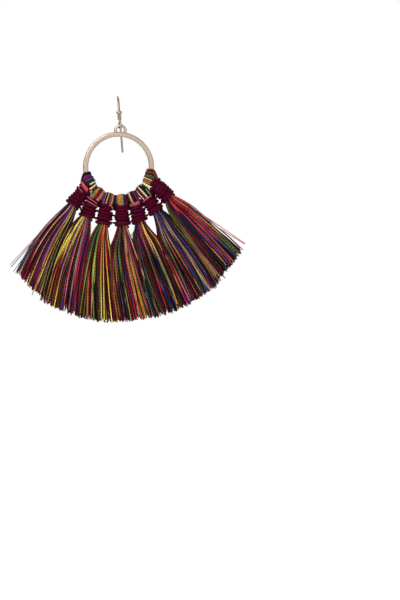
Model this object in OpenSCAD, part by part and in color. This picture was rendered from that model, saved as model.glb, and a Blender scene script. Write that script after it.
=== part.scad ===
// A drop earring: a metal hoop hangs by its bail from a fish-hook ear wire, and
// seven bundles of thread are folded over the hoop, bound at the neck and fanned out.
// Millimetres. The origin is the seat on the ear, inside the top of the hook's arch.
// X runs to the right and Z up, as the earring is seen from the front, and Y to the back.

/* [Ear wire] */
// Thickness of the ear wire
wire_d = 0.7; // [0.6:0.05:0.75]
// Distance between the front and the back leg, centre to centre
leg_gap = 8.6; // [7.8:0.2:9.6]
// Height from the seat down to the tip of the tail
tail_drop = 19.4; // [18.4:0.2:21]
// Sideways lean of the ear wire, in degrees
hook_lean = 4.5; // [0:0.5:6]
// Height from the seat down to the point that the hoop swings about
pivot_drop = 11.8; // [11.4:0.1:12.4]
// How far the eye at the foot of the front leg is turned towards the front, in degrees
eye_turn = 20; // [0:1:24]
// Diameter of the flat bead on the front leg
bead_d = 2; // [1.8:0.1:2.2]
// Height of the flat bead
bead_h = 0.95; // [0.8:0.05:1.1]
// Outer diameter of the thin coil under the bead
coil_d = 1.44; // [1.4:0.02:1.6]
// Thickness of the coil's wire
coil_wire_d = 0.28; // [0.22:0.02:0.3]

/* [Hoop and bail] */
// Outer diameter of the hoop
hoop_d = 25; // [24.6:0.1:25.4]
// Width of the hoop's band, seen from the front
band_w = 1.83; // [1.6:0.01:1.9]
// Depth of the hoop's band, front to back
band_t = 1.5; // [1.3:0.05:1.6]
// Rounding of the band's edges
band_round = 0.6; // [0.2:0.05:0.6]
// Thickness of the bail's wire
bail_wire_d = 1; // [0.9:0.05:1.1]
// Outer width of the bail
bail_w = 4.4; // [4.3:0.1:4.8]
// How far the bail sits to the right of the hoop's top, in degrees
bail_offset = 3; // [0:0.5:5]

/* [Tassels] */
// Distance from the hoop's centre to the lower end of each neck
neck_end_r = 21.1; // [20.9:0.1:21.6]
// Diameter over the neck cord at its upper end
neck_top_d = 4.3; // [4:0.05:4.35]
// Diameter over the neck cord at its lower end
neck_end_d = 5.1; // [4.7:0.05:5.2]
// Height of one turn of the neck cord
cord_pitch = 1.2; // [1.1:0.02:1.3]
// Thickness of the two cords that join the necks
link_d = 0.8; // [0.7:0.05:0.9]
// Thickness of a tassel from front to back, at its lower end
fringe_depth = 6.6; // [5:0.2:8]
// Locks in each tassel
locks = 8; // [6:1:8]
// Clear distance between neighbouring tassels
tassel_gap = 0.35; // [0.3:0.05:0.6]
// Unevenness of the cut ends
end_jitter = 0.6; // [0:0.1:1]

/* [Hidden] */

METAL = "#c9a88a";
BURGUNDY = "#4a0a22";
DARK_BURGUNDY = "#2c0a18";
THREADS = ["#27284f", "#a8641f", "#7a1f24", "#2f4a2c", "#8c7a24", "#2c3a78", "#a8382e"];

// Columns of TASSELS. Angles are in degrees from straight down, positive to the right,
// a place's seen from the hoop's centre. Lengths and radii are in millimetres.
NECK_ANGLE = 0;
NECK_TILT = 1;
NECK_LEN = 2;
END_R = 3;
TASSELS = [
    [-49.9, -34.5, 7.2, 52.2],
    [-32.9, -21.5, 6.8, 54.0],
    [-14.9, -11, 7.4, 54.3],
    [3.6, 0, 7.7, 53.8],
    [20.8, 10, 7.1, 54.1],
    [40.4, 32, 5.8, 53.8],
    [58.2, 44, 7.3, 52.2]
];

// Columns of EDGES, the eight lines that bound the seven tassels: where the line
// crosses the hoop, where the two tassels meet under their necks, and where it ends.
FOLD_ANGLE = 0;
MEET_R = 1;
MEET_ANGLE = 2;
TIP_ANGLE = 3;
EDGES = [
    [-81, 33.0, -51.2, -43.2],
    [-48, 23.8, -40.0, -28.9],
    [-28, 24.0, -22.8, -14.8],
    [-6, 28.3, -6.1, -0.7],
    [16, 26.0, 10.5, 13.4],
    [34, 28.2, 29.5, 27.5],
    [55, 23.0, 46.7, 41.6],
    [86.5, 30.5, 61.9, 55.7]
];

wire_r = wire_d / 2;
arch_r = leg_gap / 2;
arch_z = wire_r - arch_r;
hoop_r = hoop_d / 2;
bail_wire_r = bail_wire_d / 2;
bail_r = bail_w / 2 - bail_wire_r;

// The eye hangs the bail with this much air under the bail's wire. The leg narrows
// a little where it is soldered to the eye.
eye_play = 0.08;
eye_r = bail_wire_r + wire_r + 0.2;
eye_z = -pivot_drop + bail_r - bail_wire_r - eye_play - wire_r + eye_r;
eye_top = eye_z + eye_r;
solder_r = wire_r * 0.8;

// The bead, the coil and the eye follow each other down the front leg
bead_z = -5.5;
stack_gap = 0.1;
coil_top = bead_z - bead_h / 2 - stack_gap;
coil_end = eye_top + wire_r + stack_gap;
coil_pitch = coil_wire_d + 0.04;
coil_turns = floor((coil_top - coil_end - coil_wire_d) / coil_pitch);
coil_r = (coil_d - coil_wire_d) / 2;
bore_gap = 0.05;

// The hoop's centre lies under the pivot, turned by the bail's offset
bail_rise = 0.44;
pivot = [pivot_drop * sin(hook_lean), -arch_r, -pivot_drop * cos(hook_lean)];
pivot_to_hoop = hoop_r + bail_rise;
hoop_centre = pivot - pivot_to_hoop * [sin(bail_offset), 0, cos(bail_offset)];

// Threads folded over the band stand this far off it, inside and outside the hoop
fold_in = 1.05;
fold_in_end = 0.65;
fold_out = 0.7;
fold_side = 0.75;
fold_side_end = 0.6;
ring_gap = 0.1;
fold_steps = 4;
fold_points = 12;

// A tassel's core fills its neck cord, whose turns are a little slimmer than their pitch
core_gap = 0.08;
turn_r = cord_pitch * 0.46;
link_r = link_d / 2;
link_gap = 0.12;
link_inner_r = neck_end_r - 4;
link_outer_r = neck_end_r - 1.4;

// A shoulder ends this much slimmer than the neck cord that it enters
shoulder_in = 0.4;

// A tassel's sides leave its neck this far to both sides, in degrees, just under its end
lock_start = 0.12;
start_angle = 5.5;

// A lock's stations: two below the neck, then these distances from the hoop's centre
lock_flare = 2.0;
lock_radii = [27, 33, 40, 47];
lock_points = 8;

// A place in the plane of the hoop, from its distance and its angle from straight down
function place(r, angle) = hoop_centre + r * [sin(angle), 0, -cos(angle)];

// The lower end of a neck, the way down along it, and the way across it
function neck_end(i) = place(neck_end_r, TASSELS[i][NECK_ANGLE]);
function neck_down(i) = [sin(TASSELS[i][NECK_TILT]), 0, -cos(TASSELS[i][NECK_TILT])];
function neck_across(i) = [cos(TASSELS[i][NECK_TILT]), 0, sin(TASSELS[i][NECK_TILT])];
function neck_point(i, down, across) = neck_end(i) + down * neck_down(i) + across * neck_across(i);

// Outer radius of the neck cord at a share of the neck's height, 0 at its lower end
function neck_r(share) = (neck_end_d + share * (neck_top_d - neck_end_d)) / 2;
function core_r(share) = neck_r(share) - 2 * turn_r - core_gap;
function turn_count(i) = round(TASSELS[i][NECK_LEN] / cord_pitch);

// The core starts just above its neck cord
function core_top(i) = -TASSELS[i][NECK_LEN] - 0.06;

// Angle of the line that bounds tassel i on one side, at a distance from the hoop's centre
function side_angle(i, side, r) =
    let (e = EDGES[side < 0 ? i : i + 1])
    lookup(r, [
        [neck_end_r + lock_start, TASSELS[i][NECK_ANGLE] + side * start_angle],
        [e[MEET_R], e[MEET_ANGLE]],
        [TASSELS[i][END_R], e[TIP_ANGLE]]
    ]);

// Half of a tassel's depth at a distance from the hoop's centre
function half_depth(r) = lookup(r, [
    [neck_end_r, core_r(0)],
    [neck_end_r + lock_flare, core_r(0) + 0.35],
    [27, fringe_depth * 0.36],
    [40, fringe_depth * 0.44],
    [54, fringe_depth * 0.5]
]);

// A closed ring of points round a centre: half-axes a along u and b to the back. The
// points lie to both sides of the hoop's plane, none of them in it.
function ring(centre, u, a, b, n, power = 1) = [
    for (m = [0 : n - 1])
        let (q = 360 * (m + 0.5) / n)
        centre
            + u * a * sign(cos(q)) * pow(abs(cos(q)), power)
            + [0, 1, 0] * b * sign(sin(q)) * pow(abs(sin(q)), power)
];

// Solid that joins rings of points one after the other
module skin(rings) {
    for (j = [0 : len(rings) - 2])
        hull() point_cloud(concat(rings[j], rings[j + 1]));
}

module point_cloud(points) {
    polyhedron(points = points, faces = [[for (m = [0 : len(points) - 1]) m]]);
}

// Turns a profile about the hoop's axis, between two angles from straight down
module hoop_sweep(from, to) {
    translate(hoop_centre)
        rotate([90, 0, 0])
            rotate_extrude(start = from - 90, angle = to - from)
                children();
}

// Wire bent in the side view, round a centre, from one angle on
module side_bend(y, z, r, from, angle) {
    translate([0, y, z])
        rotate([90, 0, 90])
            rotate_extrude(start = from, angle = angle)
                translate([r, 0])
                    circle(d = wire_d, $fn = 32);
}

// The front leg, turned in one piece with its narrow end inside the eye's wire
module front_leg() {
    length = arch_z - eye_top;
    translate([0, -arch_r, arch_z])
        rotate_extrude($fn = 32)
            polygon([
                [0, 0], [wire_r, 0], [wire_r, -length + wire_d], [solder_r, -length], [0, -length]
            ]);
}

// The back leg, turned in one piece with the tail's round tip
module back_leg() {
    length = tail_drop + arch_z - wire_r;
    translate([0, arch_r, arch_z])
        rotate_extrude($fn = 32) {
            translate([0, -length])
                square([wire_r, length]);
            intersection() {
                translate([0, -length])
                    circle(r = wire_r, $fn = 32);
                translate([0, -length - wire_d])
                    square([wire_r, wire_d]);
            }
        }
}

module ear_wire() {
    color(METAL)
        rotate([0, -hook_lean, 0]) {
            side_bend(0, arch_z, arch_r, 0, 180, $fn = 96);
            front_leg();
            translate([0, -arch_r, 0])
                rotate([0, 0, eye_turn])
                    side_bend(0, eye_z, eye_r, 0, 360, $fn = 48);
            back_leg();
        }
}

module ear_bead() {
    color(METAL)
        rotate([0, -hook_lean, 0])
            translate([0, -arch_r, bead_z])
                rotate_extrude($fn = 48)
                    difference() {
                        intersection() {
                            scale(bead_d / 2)
                                circle(r = 1, $fn = 48);
                            translate([wire_r + bore_gap, -bead_h / 2])
                                square([bead_d, bead_h]);
                        }
                        translate([0, -bead_h])
                            square([wire_r + bore_gap, 2 * bead_h]);
                    }
}

// One closed tube along the coil's helix
module ear_coil() {
    steps = 12;
    sides = 6;
    count = coil_turns * steps;
    slope = atan(coil_pitch / (2 * PI * coil_r));
    top = coil_top - coil_wire_d / 2;
    points = [
        for (j = [0 : count])
            let (turn = 360 * j / steps, out = [cos(turn), sin(turn), 0])
            let (up = [-sin(turn) * sin(slope), cos(turn) * sin(slope), cos(slope)])
            let (centre = coil_r * out + [0, 0, top - coil_pitch * j / steps])
            for (s = [0 : sides - 1])
                centre + coil_wire_d / 2 * (cos(360 * s / sides) * out + sin(360 * s / sides) * up)
    ];
    walls = [
        for (j = [0 : count - 1], s = [0 : sides - 1])
            let (a = j * sides + s, b = j * sides + (s + 1) % sides)
            each [[a, b, b + sides], [a, b + sides, a + sides]]
    ];
    lids = [
        [for (s = [sides - 1 : -1 : 0]) s],
        [for (s = [0 : sides - 1]) count * sides + s]
    ];
    color(METAL)
        rotate([0, -hook_lean, 0])
            translate([0, -arch_r, 0])
                polyhedron(points = points, faces = concat(walls, lids));
}

// The band's rounded profile, from its inner edge outward
module band_profile() {
    translate([hoop_r - band_w, -band_t / 2 + band_round])
        square([band_w, band_t - 2 * band_round]);
    translate([hoop_r - band_w + band_round, -band_t / 2])
        square([band_w - 2 * band_round, band_t]);
    for (x = [hoop_r - band_w + band_round, hoop_r - band_round])
        for (y = [-1, 1])
            translate([x, y * (band_t / 2 - band_round)])
                circle(r = band_round, $fn = 32);
}

module hoop() {
    leg_top = 0;
    leg_end = -bail_rise - 0.6;
    color(METAL) {
        hoop_sweep(0, 360, $fn = 180)
            band_profile();
        translate(pivot)
            rotate([0, bail_offset, 0]) {
                rotate([90, 0, 0])
                    rotate_extrude(start = 0, angle = 180, $fn = 64)
                        translate([bail_r, 0])
                            circle(r = bail_wire_r, $fn = 32);
                for (side = [-1, 1])
                    translate([side * bail_r, 0, leg_end])
                        cylinder(r = bail_wire_r, h = leg_top - leg_end, $fn = 32);
            }
    }
}

// The threads' fold over the band, thickest half way along it
module fold_over(from, to) {
    half_gap = tassel_gap / 2 / hoop_r * 180 / PI;
    skin([
        for (j = [0 : fold_steps])
            let (share = j / fold_steps, bulge = sin(180 * share))
            let (angle = from + half_gap + share * (to - from - 2 * half_gap))
            let (inner = hoop_r - band_w - fold_in_end - bulge * (fold_in - fold_in_end))
            let (outer = hoop_r + fold_out)
            ring(
                place((inner + outer) / 2, angle),
                [sin(angle), 0, -cos(angle)],
                (outer - inner) / 2,
                band_t / 2 + fold_side_end + bulge * (fold_side - fold_side_end),
                fold_points,
                0.75
            )
    ]);
}

// Where the folded threads draw together into the neck
module shoulder(i, from, to) {
    band_points = [
        for (angle = [from + 5, (from + to) / 2, to - 5])
            each ring(
                place(hoop_r + 0.05, angle), [sin(angle), 0, -cos(angle)], 0.4, 1.3, lock_points
            )
    ];
    mouth_r = neck_r(1) - shoulder_in;
    neck_points = ring(neck_point(i, core_top(i), 0), neck_across(i), mouth_r, mouth_r, fold_points);
    hull() point_cloud(concat(band_points, neck_points));
}

module core(i) {
    skin([
        ring(neck_point(i, core_top(i), 0), neck_across(i), core_r(1), core_r(1), fold_points),
        ring(neck_point(i, 0.6, 0), neck_across(i), core_r(0), core_r(0), fold_points)
    ]);
}

// Stations of one lock as [centre, half-width, half-depth]
function lock_stations(i, k) =
    let (
        side = 2 * k / (locks - 1) - 1,
        layer = k % 2 == 0 ? -1 : 1,
        end_r = TASSELS[i][END_R] + end_jitter * sin(137 * k + 71 * i),
        radii = concat(lock_radii, [end_r])
    )
    concat(
        [
            let (r = core_r(0))
            [neck_point(i, lock_start, side * r * 0.45) + [0, layer * r * 0.35, 0], r * 0.4, r * 0.5],
            let (r = half_depth(neck_end_r + lock_flare))
            [neck_point(i, lock_flare, side * r * 0.86) + [0, layer * r * 0.35, 0], r * 0.46, r * 0.65]
        ],
        [
            for (r = radii)
                let (
                    a_left = side_angle(i, -1, r),
                    a_right = side_angle(i, 1, r),
                    width = (a_right - a_left) * PI / 180 * r - tassel_gap,
                    half_w = width / locks * 0.72,
                    angle = (a_left + a_right) / 2 + side * (width / 2 - half_w) / r * 180 / PI
                )
                [place(r, angle) + [0, layer * half_depth(r) * 0.35, 0], half_w, half_depth(r) * 0.65]
        ]
    );

// Way across a lock at station j, square to its path in the hoop's plane
function lock_across(stations, j) =
    let (
        before = stations[max(j - 1, 0)][0],
        after = stations[min(j + 1, len(stations) - 1)][0],
        way = [after.x - before.x, 0, after.z - before.z]
    )
    [-way.z, 0, way.x] / norm(way);

module lock(i, k) {
    stations = lock_stations(i, k);
    skin([
        for (j = [0 : len(stations) - 1])
            let (s = stations[j])
            ring(s[0], lock_across(stations, j), s[1], s[2], lock_points)
    ]);
}

// The tunnel that the hoop's band takes through the folded threads
module band_tunnel(from, to) {
    hoop_sweep(from, to, $fn = 90)
        translate([hoop_r - band_w - ring_gap, -band_t / 2 - ring_gap])
            square([band_w + 2 * ring_gap, band_t + 2 * ring_gap]);
}

// Angle of neck i's centre line at a distance from the hoop's centre
function neck_angle_at(i, r) =
    let (p = neck_point(i, r - neck_end_r, 0) - hoop_centre)
    atan2(p.x, -p.z);

// A linking cord from the first neck to the last, at a distance from the hoop's centre
module link(r, cord_r, extra, sides) {
    last = len(TASSELS) - 1;
    hoop_sweep(neck_angle_at(0, r) - extra, neck_angle_at(last, r) + extra, $fn = 120)
        translate([r, 0])
            circle(r = cord_r, $fn = sides);
}

module links_clearance(sides) {
    for (r = [link_inner_r, link_outer_r])
        link(r, link_r + link_gap, 0.6, sides);
}

module tassel(i) {
    from = EDGES[i][FOLD_ANGLE];
    to = EDGES[i + 1][FOLD_ANGLE];
    color(THREADS[i])
        difference() {
            union() {
                fold_over(from, to);
                shoulder(i, from, to);
                core(i);
                for (k = [0 : locks - 1])
                    lock(i, k);
            }
            band_tunnel(from - 2, to + 2);
            links_clearance(10);
        }
}

// Turns of cord round a neck, on a thin wall that stands for their inner halves
module neck_cord(i) {
    length = TASSELS[i][NECK_LEN];
    turns = turn_count(i);
    pitch = length / turns;
    color(BURGUNDY)
        difference() {
            translate(neck_end(i))
                rotate([0, -TASSELS[i][NECK_TILT], 0])
                    rotate_extrude($fn = 48) {
                        for (j = [0 : turns - 1])
                            let (share = (j + 0.5) / turns)
                            translate([neck_r(share) - turn_r, (j + 0.5) * pitch])
                                circle(r = turn_r, $fn = 24);
                        polygon([
                            [neck_r(0) - 2 * turn_r, 0.2 * pitch],
                            [neck_r(0) - turn_r, 0.2 * pitch],
                            [neck_r(1) - turn_r, length - 0.2 * pitch],
                            [neck_r(1) - 2 * turn_r, length - 0.2 * pitch]
                        ]);
                    }
            links_clearance(48);
        }
}

module link_cord_inner() {
    color(DARK_BURGUNDY)
        link(link_inner_r, link_r, 0, 48);
}

module link_cord_outer() {
    color(DARK_BURGUNDY)
        link(link_outer_r, link_r, 0, 48);
}

ear_wire();
ear_bead();
ear_coil();
hoop();
tassel(0);  // tassel_1
tassel(1);  // tassel_2
tassel(2);  // tassel_3
tassel(3);  // tassel_4
tassel(4);  // tassel_5
tassel(5);  // tassel_6
tassel(6);  // tassel_7
neck_cord(0);  // neck_cord_1
neck_cord(1);  // neck_cord_2
neck_cord(2);  // neck_cord_3
neck_cord(3);  // neck_cord_4
neck_cord(4);  // neck_cord_5
neck_cord(5);  // neck_cord_6
neck_cord(6);  // neck_cord_7
link_cord_inner();
link_cord_outer();
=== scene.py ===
import math

import bpy
import numpy as np
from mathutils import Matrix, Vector


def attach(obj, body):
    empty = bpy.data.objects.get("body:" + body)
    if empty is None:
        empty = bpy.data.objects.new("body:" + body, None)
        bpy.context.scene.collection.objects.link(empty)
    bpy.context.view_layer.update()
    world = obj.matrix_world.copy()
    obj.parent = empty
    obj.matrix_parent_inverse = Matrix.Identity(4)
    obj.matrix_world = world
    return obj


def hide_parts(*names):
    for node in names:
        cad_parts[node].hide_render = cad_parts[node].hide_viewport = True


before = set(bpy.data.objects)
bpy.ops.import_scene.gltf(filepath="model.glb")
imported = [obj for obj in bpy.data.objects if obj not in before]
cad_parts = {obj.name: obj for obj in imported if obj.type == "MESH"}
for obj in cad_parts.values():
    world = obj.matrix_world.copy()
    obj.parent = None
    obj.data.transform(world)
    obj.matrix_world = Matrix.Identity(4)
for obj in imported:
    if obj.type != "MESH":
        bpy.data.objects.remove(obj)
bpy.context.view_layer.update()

# Sizes, in millimetres and degrees. The solids' own have the same values as in the part's source

MM = 0.001
ARCH_R = 4.3
HOOK_LEAN = 4.5
PIVOT_DROP = 11.8
HOOP_R = 12.5
BAND_W = 1.83
BAND_T = 1.5
BAIL_RISE = 0.44
BAIL_OFFSET = 3.0
NECK_END_R = 21.1
NECK_TOP_D = 4.3
NECK_END_D = 5.1
CORD_PITCH = 1.2
TURN_R = 0.46 * CORD_PITCH
LINK_R = 0.4
COIL_R = 0.58
COIL_WIRE_R = 0.14
COIL_TURNS = 6
COIL_PITCH = 0.32
COIL_TOP = -6.075
LINK_RADII = {"inner": NECK_END_R - 4.0, "outer": NECK_END_R - 1.4}
FRINGE_DEPTH = 6.6
FRINGE_START_R = NECK_END_R + 0.12


def table(columns, *rows):
    """A short table, as one dict for each row, by the names of its columns."""
    return [dict(zip(columns.split(), row)) for row in rows]


# One row for each tassel, left to right: the angle of its neck's lower end, the
# neck's tilt and length, and how far from the hoop's centre its threads end
TASSELS = table(
    "neck_angle tilt neck_len end_r",
    (-49.9, -34.5, 7.2, 52.2),
    (-32.9, -21.5, 6.8, 54.0),
    (-14.9, -11.0, 7.4, 54.3),
    (3.6, 0.0, 7.7, 53.8),
    (20.8, 10.0, 7.1, 54.1),
    (40.4, 32.0, 5.8, 53.8),
    (58.2, 44.0, 7.3, 52.2),
)
LAST = len(TASSELS) - 1

# The eight lines that bound the tassels: on the hoop, where two meet, and at the tips
EDGES = table(
    "fold meet_r meet tip",
    (-81, 33.0, -51.2, -43.2),
    (-48, 23.8, -40.0, -28.9),
    (-28, 24.0, -22.8, -14.8),
    (-6, 28.3, -6.1, -0.7),
    (16, 26.0, 10.5, 13.4),
    (34, 28.2, 29.5, 27.5),
    (55, 23.0, 46.7, 41.6),
    (86.5, 30.5, 61.9, 55.7),
)

# Colours. The dyes of the thread and cord are sRGB hex

DYES = dict(
    black="07040a", night="110d20", navy="211c62", blue="2b2d88", teal="124846", pine="122e18",
    green="3f7030", lime="86923c", olive="6d6a2a", yellow="ead058", gold="d89e38",
    orange="cc6a2a", rust="8a3c1c", brown="4f2a1a", tan="bc976a", coral="d8604e",
    salmon="cf6a6c", red="b8182a", wine="6a0a20", burgundy="340417", plum="2f0f2c",
    purple="4d2470", magenta="8f1d62", pink="b8667e", mauve="74566a", sage="8d9a78",
    cream="e6dcb0", wound="43001c",
)
# Dark dyes. In the fringe they also serve as painted shade: its inner layers are mostly dark threads,
# so that the gaps between the front strands look shadowed
DARK_AND_SHADE_DYES = "burgundy night wine plum black burgundy pine wine".split()
BRIGHT_DYES = "yellow orange gold pink tan red coral yellow green sage lime tan".split()
ANY_DYES = """
    burgundy wine burgundy purple navy night pine olive gold red rust wine teal purple brown tan
    blue magenta
""".split()

# What shows of each tassel from the front, left to right: a bunch's width against the
# others', and its dyes at the neck, half way, at the tip and in single threads
BUNCHES = [
    [
        (1.0, "plum purple mauve teal"),
        (1.0, "navy plum mauve brown"),
        (0.9, "brown wine pine red"),
        (1.0, "wine burgundy red rust"),
        (1.4, "navy navy burgundy red"),
        (1.3, "blue blue magenta purple"),
        (0.8, "yellow tan orange rust"),
        (1.0, "night wine green gold"),
        (0.9, "pine brown wine lime"),
    ],
    [
        (1.0, "night pine wine brown"),
        (1.2, "yellow rust wine gold"),
        (1.2, "yellow wine brown olive"),
        (1.1, "red red wine coral"),
        (0.8, "sage orange burgundy tan"),
        (0.9, "red coral night pink"),
        (0.9, "coral burgundy magenta tan"),
        (1.0, "wine night red olive"),
    ],
    [
        (0.9, "burgundy plum wine tan"),
        (0.9, "plum burgundy olive coral"),
        (1.0, "green lime olive yellow"),
        (0.9, "olive green night yellow"),
        (1.1, "red wine burgundy gold"),
        (1.1, "orange gold yellow rust"),
        (0.9, "rust wine brown orange"),
        (1.0, "wine plum night yellow"),
    ],
    [
        (0.9, "burgundy rust wine red"),
        (0.8, "brown burgundy navy orange"),
        (0.8, "lime lime gold green"),
        (1.0, "pine night pine teal"),
        (0.8, "wine wine red black"),
        (0.9, "tan orange rust pink"),
        (0.9, "rust burgundy tan coral"),
        (1.0, "magenta mauve plum pink"),
    ],
    [
        (0.9, "brown olive teal navy"),
        (0.9, "green green orange tan"),
        (1.0, "burgundy wine wine magenta"),
        (1.0, "magenta purple pine red"),
        (0.9, "olive night navy green"),
        (1.1, "yellow olive gold orange"),
        (1.0, "olive rust brown yellow"),
        (0.9, "brown wine coral orange"),
    ],
    [
        (0.8, "burgundy magenta purple wine"),
        (1.0, "tan olive mauve gold"),
        (0.8, "olive teal orange night"),
        (0.4, "purple gold wine rust"),
        (0.8, "blue blue teal blue"),
        (0.8, "blue blue teal navy"),
        (0.8, "blue navy wine blue"),
        (0.8, "navy blue navy pine"),
        (0.7, "pine olive gold tan"),
        (0.7, "black pine navy wine"),
    ],
    [
        (0.9, "olive brown tan tan"),
        (1.0, "pink tan pine olive"),
        (1.1, "wine wine burgundy red"),
        (0.9, "tan brown gold gold"),
        (1.0, "rust gold yellow red"),
        (1.1, "red magenta purple wine"),
        (1.0, "wine magenta navy red"),
        (1.3, "red red purple salmon"),
        (1.1, "coral salmon green lime"),
        (0.5, "salmon sage teal sage"),
    ],
]

# The threads' colours over the hoop, along it from left to right, for each tassel
FOLDS = [
    "night teal magenta purple mauve navy pine cream black cream yellow",
    "yellow green gold orange wine burgundy coral tan",
    "purple mauve black yellow wine pink tan burgundy",
    "pine green orange gold sage sage night burgundy",
    "coral pink purple navy black yellow magenta red",
    "magenta red wine burgundy cream black cream black cream black",
    "cream pine gold orange cream pine green pine rust wine rust",
]

# Dyes that show in the folds as thin lines between dark threads
FOLD_LINES = ["cream", "yellow", "tan"]

# Threads that leave the fringe. Places are (distance from the hoop's centre, angle)
STRAYS = table(
    "start bend end dyes",
    ((27.0, -52.0), (38.0, -49.8), (51.4, -48.0), ("plum", "salmon")),
    ((27.0, -51.4), (37.6, -49.3), (51.7, -47.0), ("salmon", "night")),
    ((27.5, -50.6), (38.4, -48.5), (52.2, -45.2), ("navy", "night")),
    ((29.0, -50.0), (40.4, -47.0), (52.0, -44.2), ("blue", "plum")),
    ((26.0, 61.0), (38.6, 60.0), (52.2, 58.8), ("wine", "salmon")),
    ((27.0, 60.5), (40.0, 58.8), (52.0, 58.6), ("red", "salmon")),
    ((46.0, -35.2), (51.0, -34.9), (54.4, -34.0), ("green", "teal")),
    ((46.0, -29.0), (51.5, -29.0), (54.6, -28.6), ("red", "wine")),
    ((22.5, 15.0), (25.5, 9.0), (29.5, 9.8), ("night", "teal")),
    ((24.0, 33.0), (28.0, 30.5), (31.0, 26.0), ("sage", "green")),
)

# Loose threads that lie on the neck cords: which neck, the (height share, side) pairs of
# their path, their dye, and how many lie together
CAUGHT = table(
    "neck path dye threads",
    (0, [(1.21, -0.95), (1.14, -0.3), (1.04, 0.5)], "salmon", 2),
    (0, [(1.06, -0.7), (1.01, 0.1), (0.94, 0.8)], "red", 1),
    (0, [(0.95, -0.95), (0.87, -0.5), (0.8, 0.1)], "pink", 1),
    (1, [(1.05, -0.9), (0.98, -0.2), (0.9, 0.7)], "pink", 1),
    (1, [(0.82, -0.85), (0.76, 0.0), (0.7, 0.8)], "salmon", 1),
    (2, [(1.0, 0.3), (0.94, 0.65), (0.86, 0.95)], "salmon", 2),
    (4, [(0.93, -0.95), (0.95, -0.3), (1.0, 0.4)], "salmon", 3),
    (5, [(0.98, -0.9), (1.02, -0.2), (1.04, 0.5)], "salmon", 1),
)

# Threads and cords: their sizes, and how they lie

THREAD_D = 0.36
FOLD_THREAD_D = 0.38

# A tassel's layers from front to back: how deep each lies, how thick and how widely spread
# its strands are, how far they sway in millimetres, the threads in each strand of a bunch,
# the shares of them that are dark, that have a dye of their own, and that are bright, and
# by how many bunches the layer's order is shifted. The dark threads are partly dark dyes and
# partly painted shade: the inner layers are mostly dark, so that the gaps between the front
# strands look shadowed
OUTER_LAYER = dict(
    thick=0.24, wide=1.6, sway=0.8, threads=(2, 2, 2, 2), dark=0.37, single=0.25, bright=0.14, shift=0,
)
INNER_LAYER = dict(thick=0.28, wide=1.9, sway=0.2, threads=(2, 3, 2), single=0.10, shift=3)
LAYERS = [
    dict(OUTER_LAYER, depth=-0.70),
    # Mostly dark threads: painted shade that shows between the front strands
    dict(INNER_LAYER, depth=-0.30, dark=0.58, bright=0.10),
    dict(INNER_LAYER, depth=0.25, dark=0.60, bright=0.08),
    dict(OUTER_LAYER, depth=0.68),
]
LAYER_UNEVEN = 0.1

# Share of the strands that have the dyes of their bunch, rather than ones of their own
IN_BUNCH = 0.8

# Bunches from this width up are more even in colour: this much of their dark share stays
EVEN_FROM = 1.2
EVEN_DARK = 0.3

# Where a strand's line starts: how far down from the neck's lower end, and how far under
# its skin. The threads are packed thinner there
NECK_STARTS = [(-0.9, 2 * TURN_R), (0.3, 0.6)]
NECK_HALF_ANGLE = 5.5
PACKED_THIN = 0.76

# Where the line has its other points, from the hoop's centre. It ends past the tassel's end,
# unevenly, and sooner towards the first tassel's left edge
STRAND_STATIONS = (22.7, 25.5, 29, 34, 40, 46)
TIP_PAST = 0.55
TIP_UNEVEN = 0.35
FIRST_EDGE_SHORT = 1.3

# How the fringe changes on its way down: distances from the hoop's centre, and values there.
# OVERLAP is in millimetres, LAST_EDGE_IN in degrees off the last tassel's right edge
OVERLAP = (24, 30, 40), (-0.5, 0.3, 0.8)
LAST_EDGE_IN = (26, 38, 54), (0.0, 2.0, 0.9)
NECK_ROUNDNESS = 0.7
ROUNDNESS = (23, 45), (NECK_ROUNDNESS, 0.3)
WAY_DOWN = (23, 54), (0, 1)
THICKENING = (22, 34), (0.84, 1.0)

# The fringe's half depth as shares of its full depth, at distances from the hoop's centre,
# and how it swells just under the neck
HALF_DEPTHS = {27: 0.36, 40: 0.44, 54: 0.48}
SWELL_REACH = 2.0
SWELL = 0.35

# Where a fold's lines start under its neck's top, and where they come out of its mouth
ANCHOR_DOWN = 1.6
MOUTH_DOWN = 0.15
MOUTH_INSET = 0.35
MOUTH_DEPTH = 0.75
MOUTH_PINCH = 0.1

# Their next point lies this share of the way from the band's edge back to the mouth, and this
# far off the hoop's plane. Then they cross the band near its outer edge, at its middle and
# near its inner edge: distances from the hoop's centre, and how far they rise there or sink
BACK_TO_MOUTH = 0.4
STANDING_OUT = 1.15
CROSSINGS = [(HOOP_R - 0.1, 0.04), (HOOP_R - BAND_W / 2, 0.06), (HOOP_R - BAND_W - 0.12, -0.12)]

# How deep the threads lie at each of these points, towards the face and away from the hoop's
# centre, and how deep where they turn round, inside the hoop
FOLD_DEPTHS = [(0.15, 0.0), (0.2, 0.0), (0.24, 0.1), (0.28, 0.08), (0.3, 0.0), (0.26, -0.16)]
INSIDE_DEPTH = 0.3

# The folds: degrees left free at each end, threads on a line, their shares of dark, single
# and bright ones, and how far they stand off the band. The bulge adds to that in the middle
FOLD_INSET = 0.6
FOLD_THREADS = 8
FOLD_SHARES = (0.3, 0.1, 0.0)
FOLD_LINE_SHARES = (0.38, 0.0, 0.0)
FOLD_OUTSIDE = 0.75
END_FOLD_OUTSIDE = 0.3
FOLD_IN_FRONT = 0.25
FRONT_BULGE = 0.35
FOLD_INSIDE = 0.35
INSIDE_BULGE = 0.6
FOLD_OVERLAP = 1.1

# How thick a stray thread is at its four points, as shares
STRAY_THICK = [0.95, 0.9, 0.8, 0.75]

# Threads caught on the necks: how many degrees round they reach, how far they lie off the
# windings, and how much room each one takes
CAUGHT_ROUND = 62
CAUGHT_OFF = 0.22
CAUGHT_SPREAD = 0.16
CAUGHT_DEPTH = 0.08

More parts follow.
